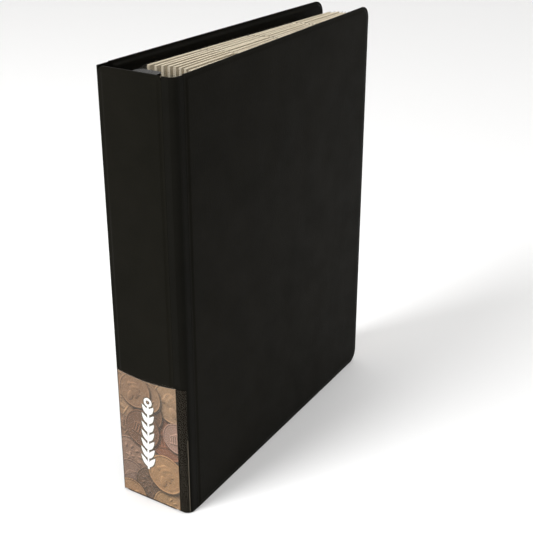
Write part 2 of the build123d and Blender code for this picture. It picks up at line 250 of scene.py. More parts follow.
def vinyl_finish(name, dark, light, rough, grain):
    """Satin vinyl: a fine pebbled grain, faint blotches of tone and gloss, a few rubbed places."""
    f = Finish(name)
    pebbles = f.cells(1500, "SMOOTH_F1")
    creases = f.noise(620, 4, 0.6)
    blotch = f.noise(26, 4, 0.55)
    tone = f.ramp(blotch, [(0.3, dark), (0.72, light)])
    speck = f.noise(900, 2, 0.6)
    f.feed(Base_Color=f.mix(f.math("MULTIPLY", speck, 0.12), tone, light))
    gloss = f.ramp(f.noise(48, 5, 0.6), [(0.3, (rough - 0.05,) * 3), (0.75, (rough + 0.08,) * 3)])
    height = f.math("ADD", f.math("MULTIPLY", pebbles, 0.7), f.math("MULTIPLY", creases, 0.5))
    f.feed(Roughness=gloss, Normal=f.bump(height, grain, 0.0004))
    f.set(Specular_IOR_Level=0.016)
    return f.material


def card_finish():
    """Off-white pressed card with greyish fibres and faint cream patches."""
    f = Finish("holder_card_stock")
    fibres = f.noise(700, 3, 0.6)
    patches = f.noise(60, 3, 0.5)
    tone = f.ramp(patches, [(0.3, (0.66, 0.565, 0.415)), (0.7, (0.80, 0.715, 0.55))])
    f.feed(Base_Color=f.mix(f.math("MULTIPLY", fibres, 0.35), tone, (0.50, 0.46, 0.38)))
    f.feed(Normal=f.bump(fibres, 0.15, 0.0002))
    return f.set(Roughness=0.78, Specular_IOR_Level=0.2).material


def film_finish(name, alpha, tint, rough, sheen=0.5, wave=0.0008):
    """Clear soft film: mostly see-through, with a sheen that is broken by slow ripples."""
    f = Finish(name)
    f.set(Base_Color=tint, Alpha=alpha, Roughness=rough, IOR=1.45, Specular_IOR_Level=sheen)
    waves = f.noise(55, 3, 0.5)
    f.feed(Normal=f.bump(waves, 0.35, wave))
    return f.material


def metal_finish(name, tone, rough, scratch):
    """Bright plated steel with a haze of fine scratches."""
    f = Finish(name)
    haze = f.noise(320, 5, 0.7)
    f.set(Metallic=1.0)
    f.feed(Base_Color=f.ramp(haze, [(0.3, tuple(0.8 * c for c in tone)), (0.7, tone)]))
    f.feed(Roughness=f.ramp(haze, [(0.3, (rough,) * 3), (0.75, (rough + 0.16,) * 3)]))
    f.feed(Normal=f.bump(f.noise(1500, 3, 0.6), scratch, 0.0001))
    return f.material


def coin_finish():
    """Worn coin metal, some copper and some nickel, struck with a soft figure and a ring of beads. It
    reads the points' "struck" attribute: the place on the coin in radii, and a number of the coin's own."""
    f = Finish("struck_coin_metal")
    spot = f.nodes.new("ShaderNodeAttribute")
    spot.attribute_name = "struck"
    parts = f.nodes.new("ShaderNodeSeparateXYZ")
    f.links.new(spot.outputs["Vector"], parts.inputs[0])
    p, q, own = parts.outputs
    nickel, copper = (0.50, 0.47, 0.42), (0.38, 0.175, 0.08)
    beads_around = 44
    radius = f.math("SQRT", f.math("ADD", f.math("MULTIPLY", p, p), f.math("MULTIPLY", q, q)), 0)
    figure = f.noise(1.9, 4, 0.55, spot.outputs["Vector"])
    inner = f.ramp(radius, [(0.58, (1, 1, 1)), (0.70, (0, 0, 0))])
    outline = f.ramp(figure, [(0.46, (0, 0, 0)), (0.52, (1, 1, 1))])
    around = f.math("SINE", f.math("MULTIPLY", f.math("ARCTAN2", q, p), beads_around), 0)
    band = f.ramp(radius, [(0.76, (0, 0, 0)), (0.79, (1, 1, 1)), (0.86, (1, 1, 1)), (0.89, (0, 0, 0))])
    beads = f.math("MULTIPLY", band, f.math("MAXIMUM", around, 0))
    mounds = f.math("ADD", outline, f.math("MULTIPLY", figure, 0.8))
    relief = f.math("ADD", f.math("MULTIPLY", inner, mounds), beads)
    wear = f.noise(420, 5, 0.65)
    share = f.math("FRACT", f.math("MULTIPLY", own, 7.3), 0)
    kind = f.ramp(share, [(0.50, nickel), (0.56, copper)])
    worn = f.mix(f.math("MULTIPLY", wear, 0.45), kind, (0.20, 0.15, 0.11))
    f.set(Metallic=1.0)
    f.feed(Base_Color=f.mix(f.math("MULTIPLY", relief, 0.35), worn, (0.68, 0.56, 0.42)))
    f.feed(Roughness=f.ramp(wear, [(0.3, (0.24,) * 3), (0.7, (0.44,) * 3)]))
    height = f.math("ADD", relief, f.math("MULTIPLY", wear, 0.15))
    f.feed(Normal=f.bump(height, 0.9, 0.0007))
    return f.material


def print_finish():
    """Printed paper that takes its ink from the sheet's own colour attribute."""
    f = Finish("label_sepia_print")
    ink = f.nodes.new("ShaderNodeAttribute")
    ink.attribute_name = "ink"
    paper = f.noise(2200, 3, 0.6)
    f.feed(Base_Color=f.mix(f.math("MULTIPLY", paper, 0.12), ink.outputs["Color"], (0.30, 0.22, 0.14)))
    f.feed(Normal=f.bump(paper, 0.08, 0.0002))
    return f.set(Roughness=0.5, Specular_IOR_Level=0.4).material


def chipboard_finish():
    """Grey-brown board with short fibres."""
    f = Finish("grey_chipboard")
    fibres = f.noise(900, 5, 0.7)
    f.feed(Base_Color=f.ramp(fibres, [(0.3, (0.20, 0.16, 0.12)), (0.7, (0.34, 0.29, 0.22))]))
    f.feed(Normal=f.bump(fibres, 0.4, 0.0003))
    return f.set(Roughness=0.9).material


CASE_VINYL = vinyl_finish("case_vinyl", (0.0056, 0.0053, 0.0037), (0.0080, 0.0073, 0.0053), 0.44, 0.30)
LINER_VINYL = vinyl_finish("liner_vinyl_film", (0.0058, 0.0056, 0.0043), (0.0080, 0.0075, 0.0060), 0.40, 0.15)
# The hinge vinyl is a little darker than the case vinyl: painted shade of the hinge channel between spine and
# covers.
HINGE_VINYL = vinyl_finish("hinge_vinyl_painted_shade", (0.0050, 0.0048, 0.0037), (0.0072, 0.0068, 0.0053), 0.40, 0.2)
CARD = card_finish()
POCKET_FILM = film_finish("pocket_film", 0.05, (0.36, 0.35, 0.32), 0.18)
LABEL_FILM = film_finish("label_film", 0.04, (0.16, 0.14, 0.11), 0.30, 0.2)
# The fold film has almost no sheen and a fairly solid light brown tone: painted sheen of clear film over dark
# vinyl.
FOLD_FILM_PAINTED_SHEEN = film_finish("fold_film_painted_sheen", 0.6, (0.026, 0.0225, 0.017), 0.50, 0.01, 0.0001)
# The film edge is lighter than the fold film: a painted glint along the strip's cut edge.
FILM_EDGE_GLINT = film_finish("film_edge_painted_glint", 0.8, (0.11, 0.095, 0.072), 0.5, 0.01, 0.0001)
WINDOW_FILM = film_finish("window_film", 0.045, (0.45, 0.45, 0.43), 0.12)
PLATE = metal_finish("bright_nickel_plate", (0.80, 0.79, 0.76), 0.16, 0.10)
# The levers' nickel is given a near-black tone, a painted dark reflection of the dark case round them.
LEVER_NICKEL_PAINTED_DARK = metal_finish("nickel_plate_painted_dark_reflection", (0.012, 0.011, 0.009), 0.20, 0.10)
STAPLE = metal_finish("staple_wire", (0.70, 0.70, 0.68), 0.3, 0.10)
COIN_METAL = coin_finish()
LABEL_PRINT = print_finish()
CHIPBOARD = chipboard_finish()


# ---------------------------------------------------------------- the case


def cover_place(local, mirrored):
    """Takes panel points (along, inward, up) to the front cover's place, or mirrored to the back's."""
    x, y, z = local[..., 0], local[..., 1], local[..., 2]
    turn = math.pi / 2 + LEAN
    wx = HALF_THICKNESS + x * math.cos(turn) - y * math.sin(turn)
    wy = x * math.sin(turn) + y * math.cos(turn)
    return np.stack([-wx if mirrored else wx, wy, z], -1)


def panel_grid(length, radius, all_round):
    """Points of a panel's face: straight grid lines, with each rounded corner's square pulled to an arc.
    Returns along, up and the distance in from the outline."""
    band = max(radius, 6.0)
    x = lines_between(0, length, 0.55, 7.0, band)
    z = lines_between(0, HEIGHT, 0.55, 7.0, band)
    x, z = np.meshgrid(x, z, indexing="ij")
    far = np.clip((x - (length - radius)) / radius, 0, 1)
    near = np.clip((radius - x) / radius, 0, 1) if all_round else np.zeros_like(x)
    side = np.where(near > 0, near, far)
    sign = np.where(near > 0, -1.0, 1.0)
    low = np.clip((radius - z) / radius, 0, 1)
    high = np.clip((z - (HEIGHT - radius)) / radius, 0, 1)
    end = np.where(low > 0, low, high)
    way = np.where(low > 0, -1.0, 1.0)
    in_corner = (side > 0) & (end > 0)
    a = side * np.sqrt(1 - end**2 / 2)
    b = end * np.sqrt(1 - side**2 / 2)
    x = x + np.where(in_corner, sign * radius * (a - side), 0)
    z = z + np.where(in_corner, way * radius * (b - end), 0)
    edge = np.minimum.reduce([x, length - x, z, HEIGHT - z])
    corner = radius * (1 - np.sqrt(a**2 + b**2))
    return x, z, np.maximum(np.where(in_corner, corner, edge), 0)


WELD_RISE_FROM, WELD_RISE_RUN = 1.5, 1.9
LINER_RISE_FROM, LINER_RISE_RUN = 1.4, 2.0
WELD_BAR_HEIGHT, WELD_BAR_PLACE, WELD_BAR_WIDTH = 0.05, 1.45, 0.25
SHEET_INSET = 0.22


def vinyl_panel(length, radius, all_round, seed):
    """The outer vinyl and the liner of one panel as closed sheets in panel coordinates. Depth is flat at the
    weld, rises over the board's edge by a cubic step, has a narrow raised bar along the weld, and takes a
    slow ripple over the board."""
    x, z, inset = panel_grid(length, radius, all_round)
    rise = smooth((inset - WELD_RISE_FROM) / WELD_RISE_RUN)
    bar = WELD_BAR_HEIGHT * np.exp(-(((inset - WELD_BAR_PLACE) / WELD_BAR_WIDTH) ** 2))
    over_board = smooth((inset - 4) / 12)
    uneven = (0.10 + 0.08 * ripple(x, z, 75, seed)) * over_board
    outer = WELD_DEPTH * (1 - rise) + bar + uneven * 0.8
    under = outer + WELD_THICKNESS / 2 * (1 - rise) + (VINYL - SHEET_INSET) * rise
    inner_rise = smooth((inset - LINER_RISE_FROM) / LINER_RISE_RUN)
    inner = PANEL - (PANEL - WELD_DEPTH - WELD_THICKNESS) * (1 - inner_rise) - bar - uneven
    over = inner - WELD_THICKNESS / 2 * (1 - inner_rise) - (VINYL - SHEET_INSET) * inner_rise
    return [np.stack([x, depth, z], -1) for depth in (outer, under, over, inner)]


def make_panel(side, length, radius, all_round, place, body, seed):
    """One panel's two vinyl sheets, put in their place on the album by the function place."""
    outer, under, over, inner = (place(s) for s in vinyl_panel(length, radius, all_round, seed))
    piece = new_piece(f"{side}_case_vinyl", *shell_arrays(outer, under), body, CASE_VINYL, 50)
    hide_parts(f"{side}_outer_vinyl")
    piece = new_piece(f"{side}_lining", *shell_arrays(inner, over), body, LINER_VINYL, 50)
    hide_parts(f"{side}_liner")


def spine_place(local):
    """Takes panel points to the spine, which starts at its back fold."""
    return local + np.array([SPINE_BACK_X, 0, 0])


make_panel("spine", SPINE_FRONT_X - SPINE_BACK_X, SPINE_RADIUS, True, spine_place, "spine", 3)
make_panel(
    "front", DEPTH - FRONT_SETBACK, COVER_RADIUS, False,
    lambda p: cover_place(p + np.array([FRONT_SETBACK, 0, 0]), False), "front_cover", 5,
)
make_panel(
    "back", DEPTH - BACK_SETBACK, COVER_RADIUS, False,
    lambda p: cover_place(p + np.array([BACK_SETBACK, 0, 0]), True), "back_cover", 8,
)
for board in ("spine_board", "front_board", "back_board"):
    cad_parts[board].data.materials.clear()
    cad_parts[board].data.materials.append(CHIPBOARD)


def fold_path(spine_x, setback, radius, steps):
    """The hinge's middle line in plan: along the spine, round the corner in an arc, along the cover.
    Returns points, outward normals and the distance along."""
    along = np.array([-math.sin(LEAN), math.cos(LEAN)])
    inward = np.array([-math.cos(LEAN), -math.sin(LEAN)])
    end = np.array([HALF_THICKNESS, 0]) + along * setback + inward * SEAM
    corner = end - along * ((end[1] - SEAM) / along[1])
    turn = math.pi / 2 + LEAN
    cut = radius * math.tan(turn / 2)
    first = corner[0] - cut - spine_x
    last = np.linalg.norm(end - corner) - cut
    s = np.linspace(0, first + radius * turn + last, steps)
    angle = np.clip((s - first) / radius, 0, turn)
    centre = np.array([corner[0] - cut, SEAM + radius])
    arc = centre + radius * np.stack([np.sin(angle), -np.cos(angle)], -1)
    before = np.stack([spine_x + np.minimum(s, first), np.full(steps, SEAM)], -1)
    after = arc[-1] + along * np.clip(s - first - radius * turn, 0, None)[:, None]
    line = np.where((s < first)[:, None], before, np.where((s > first + radius * turn)[:, None], after, arc))
    normal = np.stack([np.sin(angle), -np.cos(angle)], -1)
    return line, normal, s


def make_hinge(side, spine_x, setback, radius, ridges, sign):
    """Bare vinyl round the corner: the fold's middle line pushed out by half the vinyl, by a ridge at each
    pressed line and by a slow ripple. It bends between the spine and the cover over its whole length."""
    line, normal, s = fold_path(spine_x, setback, radius, 64)
    z = lines_between(0.3, HEIGHT - 0.3, 1.5, 9.0, 6.0)
    raised = sum(0.12 * np.exp(-(((s - r) / 0.5) ** 2)) for r in ridges)
    sunk = 0.05 * np.sin(np.clip((s - 1) / (s[-1] - 2), 0, 1) * np.pi)
    wave = 0.10 * ripple(s[:, None], z[None], 60, 11)
    out = (0.45 + raised - sunk)[:, None] + wave * np.sin(s / s[-1] * np.pi)[:, None]

    def sheet(offset):
        x = sign * (line[:, 0, None] + normal[:, 0, None] * offset)
        y = line[:, 1, None] + normal[:, 1, None] * offset
        return np.stack(np.broadcast_arrays(x, y, z[None]), -1)

    points, faces = shell_arrays(sheet(out), sheet(out * 0 - 0.4))
    # The hinge's vinyl is a little darker than the case's: painted shade of the channel.
    piece = new_piece(f"{side}_hinge_fold", points, faces, None, HINGE_VINYL, 50)
    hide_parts(f"{side}_hinge_web")
    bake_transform(piece)


FRONT_FOLD_RADIUS = 5.0
BACK_FOLD_RADIUS = 1.3
make_hinge("front", SPINE_FRONT_X, FRONT_SETBACK, FRONT_FOLD_RADIUS, (4.6, 9.6), 1)
make_hinge("back", -SPINE_BACK_X, BACK_SETBACK, BACK_FOLD_RADIUS, (3.4, 8.4), -1)

# ---------------------------------------------------------------- the label and its clear pocket

LABEL_LEFT = SPINE_BACK_X + 0.3
LABEL_RIGHT = SPINE_FRONT_X + 1.7
LABEL_FOOT = 1.6
LABEL_TOP = 96.0
LABEL_DIP = 2.2


def label_top(x):
    """The sagging top edge: a shallow arc between the label's corners."""
    middle = (LABEL_LEFT + LABEL_RIGHT) / 2
    return LABEL_TOP - LABEL_DIP * (1 - ((x - middle) / (LABEL_RIGHT - middle)) ** 2)


def bump_at(p, q, centre, size, tilt=0.0):
    """A rounded mound on an ellipse, 1 in its middle and 0 outside."""
    c, s = math.cos(tilt), math.sin(tilt)
    u, v = p - centre[0], q - centre[1]
    u, v = (u * c + v * s) / size[0], (v * c - u * s) / size[1]
    return np.sqrt(np.clip(1 - u * u - v * v, 0, 1))


def calm_head(p, q):
    """A plain profile facing right, made of mounds: neck, skull, face, nose, lips, chin and a hair knot."""
    parts = [
        bump_at(p, q, (-0.08, -0.48), (0.20, 0.34), 0.2),
        bump_at(p, q, (-0.06, 0.16), (0.38, 0.38)),
        bump_at(p, q, (0.14, -0.02), (0.24, 0.36), 0.1),
        0.8 * bump_at(p, q, (0.385, 0.02), (0.10, 0.06), -0.7),
        0.7 * bump_at(p, q, (0.34, -0.14), (0.07, 0.045)),
        0.8 * bump_at(p, q, (0.26, -0.29), (0.12, 0.10)),
        0.8 * bump_at(p, q, (-0.46, 0.16), (0.15, 0.14)),
    ]
    head = np.maximum.reduce(parts)
    waves = np.sin(22 * np.hypot(p - 0.3, q + 0.3)) * bump_at(p, q, (-0.14, 0.28), (0.38, 0.28))
    eye = bump_at(p, q, (0.22, 0.07), (0.06, 0.025))
    return head + 0.16 * waves - 0.3 * eye


def wreath(p, q):
    """Two curved sprays of leaves, open at the top, round a small star."""
    radius, angle = np.hypot(p, q), np.arctan2(q, p)
    leaf = np.clip(np.sin(angle * 11 + 5 * np.sign(p) * (radius - 0.6)), 0, 1)
    band = np.exp(-(((radius - 0.60) / 0.10) ** 2)) * (np.abs(angle - np.pi / 2) > 0.35)
    star = 0.20 + 0.09 * np.cos(5 * (angle - np.pi / 2))
    return leaf * band + 0.9 * smooth((star - radius) / 0.05)


def temple(p, q):
    """A front with six columns, steps and a low gable."""
    inside = (np.abs(p) < 0.52) & (q > -0.36) & (q < 0.12)
    columns = inside * (0.5 + 0.5 * np.cos(p / 0.52 * np.pi * 6))
    steps = (np.abs(p) < 0.60) & (q > -0.48) & (q < -0.36)
    gable = (q > 0.12) & (q < 0.40 - 0.48 * np.abs(p))
    return columns + 0.9 * steps + 0.8 * gable


def bird(p, q):
    """A bird with spread wings over a branch."""
    body = bump_at(p, q, (0, -0.04), (0.13, 0.36))
    wings = bump_at(p, q, (-0.36, 0.16), (0.36, 0.17), -0.5) + bump_at(p, q, (0.36, 0.16), (0.36, 0.17), 0.5)
    feathers = 0.75 + 0.25 * np.sin(34 * p + 10 * q)
    return body + wings * feathers + 0.7 * bump_at(p, q, (0, -0.5), (0.42, 0.06))


COIN_ART = [
    # middle x, middle z, radius, tone, motif, turn, beads
    (-26, 95, 12, (0.36, 0.27, 0.19), wreath, 0.4, 0),
    (-27, 70, 15, (0.42, 0.32, 0.225), bird, 1.0, 0),
    (8, 74, 14, (0.37, 0.285, 0.195), wreath, 2.2, 0),
    (13, 55, 17, (0.30, 0.155, 0.105), temple, 0.2, 0),
    (-26, 52, 11, (0.26, 0.19, 0.145), bird, 0.9, 60),
    (18, 84, 15.5, (0.40, 0.31, 0.215), calm_head, 0.3, 0),
    (-20, 30, 16, (0.31, 0.235, 0.20), wreath, 1.2, 0),
    (21, 58, 11.5, (0.40, 0.305, 0.285), temple, 0.1, 70),
    (-3, 70, 12.5, (0.17, 0.115, 0.08), wreath, 0.3, 64),
    (-3, 82, 11.5, (0.33, 0.25, 0.175), bird, 0.8, 0),
    (-13, 84, 13, (0.30, 0.215, 0.15), calm_head, -0.5, 0),
    (-8, 56, 14.5, (0.19, 0.125, 0.092), temple, -0.3, 56),
    (-20, 14, 13, (0.27, 0.21, 0.19), temple, 0.5, 0),
    (-2, 13, 14, (0.16, 0.12, 0.095), wreath, -0.4, 72),
    (-20, -2, 13, (0.40, 0.28, 0.17), bird, 0.2, 0),
    (12, 0, 13, (0.44, 0.33, 0.20), wreath, 0.6, 0),
    (10.5, 26, 15, (0.45, 0.32, 0.19), calm_head, -0.2, 0),
]


def coin_heaps(x, z):
    """The picture's relief and tone: coins laid one over another, each with a rim, a field and a motif."""
    height = 0.3 * ripple(x, z, 9, 4)
    tone = np.zeros((*x.shape, 3)) + (0.34, 0.25, 0.17)
    shade = np.ones_like(x)
    for cx, cz, radius, color, motif, turn, beads in COIN_ART:
        dx, dz = x - cx, z - cz
        away = np.hypot(dx, dz)
        cast = np.hypot(dx - 0.9, dz + 1.0)
        shadow = 1 - 0.85 * np.exp(-np.clip(cast - radius, 0, 9) / 1.1)
        shade = np.where(away > radius, shade * shadow, shade)
        inside = away < radius
        c, s = math.cos(turn) / radius, math.sin(turn) / radius
        p, q = dx * c + dz * s, dz * c - dx * s
        rim = 0.7 * smooth((away / radius - 0.91) / 0.03) * smooth((1.0 - away / radius) / 0.03)
        ring = 0.0
        if beads:
            around = np.cos(np.arctan2(dz, dx) * beads / 2)
            ring = 0.35 * np.exp(-(((away / radius - 0.82) / 0.035) ** 2)) * np.clip(around, 0, 1)
        legend = 0.22 * np.exp(-(((away / radius - 0.76) / 0.05) ** 2)) * (ripple(p * 9, q * 9, 1.4, 7) > 0.1)
        relief = rim + ring + (0 if beads else legend) + 0.95 * motif(p * 1.12, q * 1.12)
        worn = 1 + 0.16 * ripple(x, z, 7, int(radius * 7) + int(abs(cx)))
        height = np.where(inside, relief + 1.0, height)
        shade = np.where(inside, worn, shade)
        tone = np.where(inside[..., None], color, tone)
    return height, tone, shade


def laurel(x, z):
    """A white upright spray on the picture: a curved stem, leaves in pairs and a ring at its head.
    Returns how deep a point lies inside it, in millimetres."""
    middle = -3.2 + 1.0 * np.sin((z - 52) / 17)
    inside = 0.75 - np.abs(x - middle) - 9 * (np.abs(z - 51) > 25.5)
    for step in range(7):
        foot = 27.0 + step * 7.0
        stem = -3.2 + 1.0 * math.sin((foot - 52) / 17)
        for side in (-1, 1):
            lean = side * 0.60
            u, v = x - stem, z - foot
            along = u * math.sin(lean) + v * math.cos(lean)
            across = u * math.cos(lean) - v * math.sin(lean)
            length = 10.6 - 0.35 * step
            t = np.clip(along / length, 0, 1)
            width = 1.75 * np.sin(np.pi * t**0.8)
            leaf = np.where((along > 0) & (along < length), width - np.abs(across), -9)
            inside = np.maximum(inside, np.where(np.abs(across) < 0.14, np.minimum(leaf, 0.02), leaf))
    ring = 0.9 - np.abs(np.hypot(x - middle, z - 78.5) - 2.4)
    return np.maximum(inside, ring)


LABEL_COLUMNS, LABEL_ROWS = 150, 290
SEPIA = (0.63, 0.50, 0.40)
SPRAY_WHITE = np.array((0.93, 0.93, 0.92))
SPRAY_OUTLINE = np.array((0.050, 0.038, 0.016))
PAPER_BACK = 0.6


def make_label():
    """The printed insert: one vertex every third of a millimetre, with its ink painted on the points.
    Ink = tone x wear x (1 + slope of the relief towards the light)."""
    x = np.linspace(LABEL_LEFT, LABEL_RIGHT, LABEL_COLUMNS)
    share = np.linspace(0, 1, LABEL_ROWS)
    x, share = np.meshgrid(x, share, indexing="ij")
    z = LABEL_FOOT + share * (label_top(x) - LABEL_FOOT)
    height, tone, shade = coin_heaps(x, z)
    slope_x, slope_z = np.gradient(height, x[1, 0] - x[0, 0], z[0, 1] - z[0, 0])
    light = np.clip(1 + 1.2 * (0.5 * slope_x - 0.86 * slope_z), 0.3, 1.9)
    color = tone * SEPIA * (shade * light)[..., None]
    spray = laurel(x, z)
    color = np.where((spray > -0.8)[..., None], SPRAY_OUTLINE, color)
    color = np.where((spray > 0.0)[..., None], SPRAY_WHITE, color)
    front = np.stack([x, -0.22 - 0.02 * ripple(x, z, 30, 9), z], -1).reshape(-1, 3)
    grid = np.arange(len(front)).reshape(LABEL_COLUMNS, LABEL_ROWS)
    loop = np.concatenate([grid[0], grid[1:, -1], grid[-1, -2::-1], grid[-2:0:-1, 0]])
    rim = len(front) + np.arange(len(loop))
    back = front[loop] * (1, 0, 1) + (0, -0.02, 0)
    sheet = shell_faces(LABEL_COLUMNS, LABEL_ROWS)[: (LABEL_COLUMNS - 1) * (LABEL_ROWS - 1), ::-1]
    walls = np.stack([loop, np.roll(loop, 1), np.roll(rim, 1), rim], -1)
    faces = [*sheet.tolist(), *walls.tolist(), rim.tolist()]
    piece = new_piece("printed_label", np.concatenate([front, back]), faces, "spine", LABEL_PRINT)
    ink = np.ones((len(piece.data.vertices), 4), np.float32)
    ink[:, :3] = PAPER_BACK
    ink[: len(front), :3] = np.clip(color, 0, 1).reshape(-1, 3)
    piece.data.attributes.new("ink", "FLOAT_COLOR", "POINT").data.foreach_set("color", ink.ravel())
    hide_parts("label_insert")


def make_label_pocket():
    """Clear film over the label, welded down at its left side and foot, a little loose at the top."""
    x = np.linspace(LABEL_LEFT - 0.6, LABEL_RIGHT, 40)
    share = np.linspace(0, 1, 64)
    x, share = np.meshgrid(x, share, indexing="ij")
    z = LABEL_FOOT - 0.6 + share * (label_top(x) + 1.6 - LABEL_FOOT + 0.6)
    edge = np.minimum(x - x.min(), z - z.min())
    out = -0.30 - 0.10 * smooth(edge / 1.2) + 0.025 * ripple(x, z, 24, 2)
    front = np.stack([x, out, z], -1)
    points, faces = shell_arrays(front, front + (0, 0.05, 0))
    piece = new_piece("label_pocket_film", points, faces, "spine", LABEL_FILM)
    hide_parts("label_pocket")


STRIP_FROM, STRIP_TO = 1.7, 8.2


def make_pocket_strip():
    """The pocket's film where it runs on over the front fold, with its sheen painted in as a light brown tone,
    and a thin bead along its cut edge, lighter still, a painted glint over the lower part of its height: both
    follow the fold's middle line at a given height above it."""
    line, normal, s = fold_path(SPINE_FRONT_X, FRONT_SETBACK, FRONT_FOLD_RADIUS, 96)
    run = (s > STRIP_FROM) & (s < STRIP_TO)
    line, normal, s = line[run], normal[run], s[run]
    z = np.linspace(1.0, 95.9, 40)
    out = 0.86 + 0.58 * (1 - smooth((s - STRIP_FROM) / 2.2))
    out = out[:, None] + 0.04 * ripple(s[:, None], z[None], 18, 6)

    def sheet(offset):
        x = line[:, 0, None] + normal[:, 0, None] * offset
        y = line[:, 1, None] + normal[:, 1, None] * offset
        return np.stack(np.broadcast_arrays(x, y, z[None]), -1)

    piece = new_piece("pocket_fold_film", *shell_arrays(sheet(out), sheet(out - 0.12)), None, FOLD_FILM_PAINTED_SHEEN)
    # The bead along the cut edge, over the lower part only, carries the painted glint.
    line, normal, s = line[-4:], normal[-4:], s[-4:]
    z = np.linspace(2.0, 58.0, 24)
    out = np.full((4, 24), 1.04) + 0.04 * ripple(s[:, None], z[None], 18, 6)
    edge = new_piece("pocket_film_edge", *shell_arrays(sheet(out), sheet(out - 0.10)), None, FILM_EDGE_GLINT)
    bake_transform(piece)
    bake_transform(edge)


make_label()
make_label_pocket()
make_pocket_strip()

# ---------------------------------------------------------------- pages of coin holders

HOLDER = 50.0
CARD_HALF = 0.9
PITCH = 51.2
ROW_PITCH = 56.8
SEAM_WIDTH = 0.8
PAGE_WIDTH = COLUMNS * PITCH + SEAM_WIDTH
PAGE_HEIGHT = 279.1
PAGE_FOOT = 13.45
COIN_RADII = [12.15, 8.95, 10.6, 12.15, 15.3]
RING_HEIGHTS = (45.05, 153.0, 260.95)


class PagePlace:
    """Where one page lies: its first pocket, its direction and its strip to the rings."""

    def __init__(self, number):
        share = (number - 1) / (PAGES - 1)
        start_x = 17.5 - 37.5 * share
        lean = math.asin((15.0 - 23.0 * share - start_x) / PAGE_WIDTH)
        self.start = np.array([start_x, 37.5 + 4.5 * (1 - (2 * share - 1) ** 2)])
        self.along = np.array([math.sin(lean), math.cos(lean)])
        self.across = np.array([-math.cos(lean), math.sin(lean)])
        self.turn = self.start - self.along * 3.0
        centre = np.array([RING_X, RING_Y])
        way = centre - (0, 30) - self.turn
        self.way = way / np.linalg.norm(way)
        off = self.turn - centre
        half = off @ self.way
        self.hole = -half - math.sqrt(half**2 - off @ off + RING_RADIUS**2)

    def put(self, local):
        """Takes (along, across, up) points to the frame."""
        plan = self.start + local[..., 0, None] * self.along + local[..., 1, None] * self.across
        return np.concatenate([plan, local[..., 2, None]], -1)


def pocket_lines():
    """Grid lines of a page: along it and up it."""
    steps = np.array([0, 0.12, 3, 12, 25.2, 38.4, 47.4, 50.28, 50.4])
    x = np.concatenate([SEAM_WIDTH + c * PITCH + steps for c in range(COLUMNS)])
    x = np.concatenate([[0], x, [PAGE_WIDTH]])
    steps = np.array([0, 0.12, 3, 12, 25, 38, 46, 50.1, 51.5, 53.2, 54.9, 56])
    z = np.concatenate([PAGE_FOOT + SEAM_WIDTH + r * ROW_PITCH + steps for r in range(ROWS)])
    z = np.concatenate([[PAGE_FOOT], z])
    z = z[z < PAGE_FOOT + PAGE_HEIGHT - 0.05]
    return x, np.append(z, PAGE_FOOT + PAGE_HEIGHT)


FILM = 0.05
FILM_AT_SEAM = 0.06
FILM_OVER_CARD = 0.90
FILM_FARTHEST = 1.09
CARD_TOP, CLOSING_RUN = 50.2, 5.8


def film_sheets(place, seed):
    """The two films of a page: welded at the seams, held apart by the cards, closing in again above each
    card and a little wavy at the open top edge."""
    x, z = pocket_lines()
    x, z = np.meshgrid(x, z, indexing="ij")
    column = (x - SEAM_WIDTH) % PITCH
    across = np.minimum(column, PITCH - SEAM_WIDTH - column)
    row = (z - PAGE_FOOT - SEAM_WIDTH) % ROW_PITCH
    top_row = z > PAGE_FOOT + SEAM_WIDTH + (ROWS - 1) * ROW_PITCH + 1
    closing = np.where(top_row, 1.0, 1 - smooth((row - CARD_TOP) / CLOSING_RUN))
    gap = FILM_AT_SEAM + FILM_OVER_CARD * smooth(across / 0.12) * smooth(row / 0.12) * np.maximum(closing, 0.0)
    gap = np.where((x < 0.01) | (x > PAGE_WIDTH - 0.01), FILM_AT_SEAM, gap)
    loose = smooth(across / 6) * (0.3 + 0.7 * top_row * smooth((row - 49) / 2))
    sheets = []
    for side in (-1, 1):
        wave = 0.055 + 0.05 * ripple(x + side, z, 17, seed + side)
        surface = side * np.minimum(gap + wave * loose, FILM_FARTHEST)
        outer = np.stack([x, surface, z], -1)
        inner = outer - (0, side * FILM, 0)
        sheets.append(shell_arrays(place.put(outer), place.put(inner)))
    return sheets


BEND_TO_MARGIN = 3.0
MARGIN_PAST_HOLE = 5.5
MARGIN_HALF = 0.07
SLOT_OFFSET = 1.0
SLOT_RADIUS = 3.15
SLOT_STRAIGHT_HALF = 1.9
SLOT_REACH = 5.2


